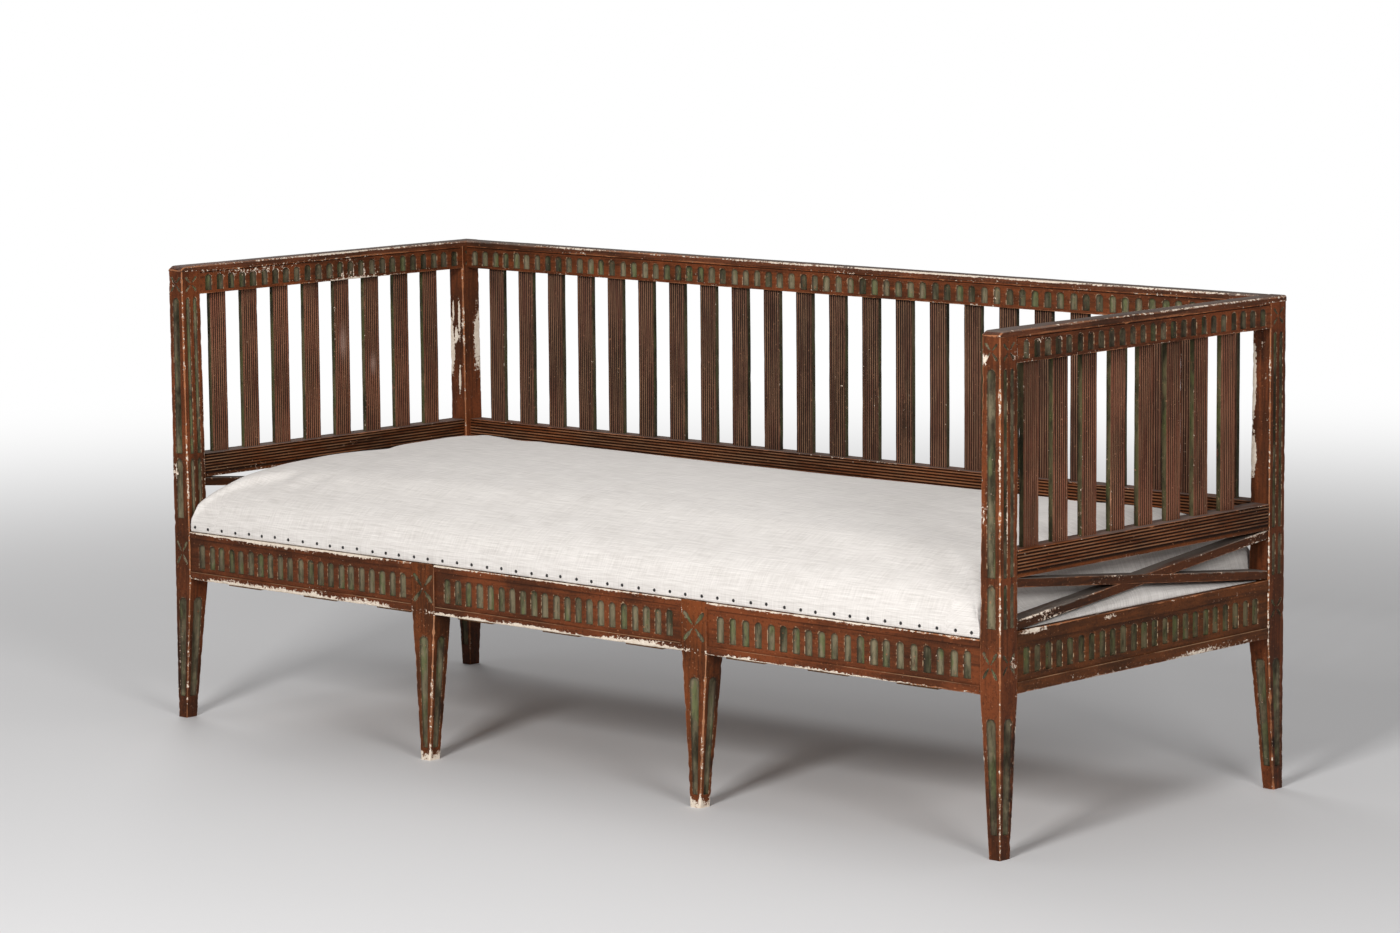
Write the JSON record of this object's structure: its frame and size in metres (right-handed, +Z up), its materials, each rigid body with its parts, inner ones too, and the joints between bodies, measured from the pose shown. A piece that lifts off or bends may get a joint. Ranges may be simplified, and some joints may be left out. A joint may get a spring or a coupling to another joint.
{
  "type": "pull-out bench bed",
  "caption": "Painted wooden bench bed with slatted back and arms, fluted rails, a nailed linen seat and a front rail on legs that slides out to widen it into a bed.",
  "frame": {"origin": "on the floor, under the middle of the bench's footprint", "axes": "+X to the right along the bench as seen from the front, +Y towards the back, +Z up"},
  "size_m": [1.95, 0.768, 0.84],
  "materials": {
    "red_paint": "worn brown-red paint on pine",
    "slat_paint": "worn dark brown paint on pine",
    "bare_pine": "bare aged pine",
    "linen": "off-white woven linen",
    "tack_iron": "black forged heads"
  },
  "bodies": {
    "bench": {"back_cap": "red_paint", "back_ledger": "bare_pine", "back_left_post": "red_paint", "back_lower_rail": "red_paint", "back_right_post": "red_paint", "back_seat_rail": "red_paint", "back_slats": "slat_paint", "back_top_rail": "red_paint", "fixed_bearer": "bare_pine", "fixed_boards": "bare_pine", "front_left_post": "red_paint", "front_right_post": "red_paint", "left_bar_to_back": "red_paint", "left_bar_to_front": "red_paint", "left_cap": "red_paint", "left_ledger": "bare_pine", "left_lower_rail": "red_paint", "left_seat_rail": "red_paint", "left_slat_1": "slat_paint", "left_slat_2": "slat_paint", "left_slat_3": "slat_paint", "left_slat_4": "slat_paint", "left_slat_5": "slat_paint", "left_slat_6": "slat_paint", "left_slat_7": "slat_paint", "left_slat_8": "slat_paint", "left_top_rail": "red_paint", "right_bar_to_back": "red_paint", "right_bar_to_front": "red_paint", "right_cap": "red_paint", "right_ledger": "bare_pine", "right_lower_rail": "red_paint", "right_seat_rail": "red_paint", "right_slat_1": "slat_paint", "right_slat_2": "slat_paint", "right_slat_3": "slat_paint", "right_slat_4": "slat_paint", "right_slat_5": "slat_paint", "right_slat_6": "slat_paint", "right_slat_7": "slat_paint", "right_slat_8": "slat_paint", "right_top_rail": "red_paint", "seat_board": "bare_pine", "seat_cushion": "linen", "tacks": "tack_iron"},
    "pullout": {"front_rail": "red_paint", "left_middle_leg": "red_paint", "right_middle_leg": "red_paint", "sliding_boards": "bare_pine", "sliding_batten": "bare_pine"}
  },
  "joints": [
    {"name": "pullout_slide", "type": "slide", "parent": "bench", "child": "pullout", "axis": [0, -1, 0], "range_m": [0, 0.62]}
  ]
}
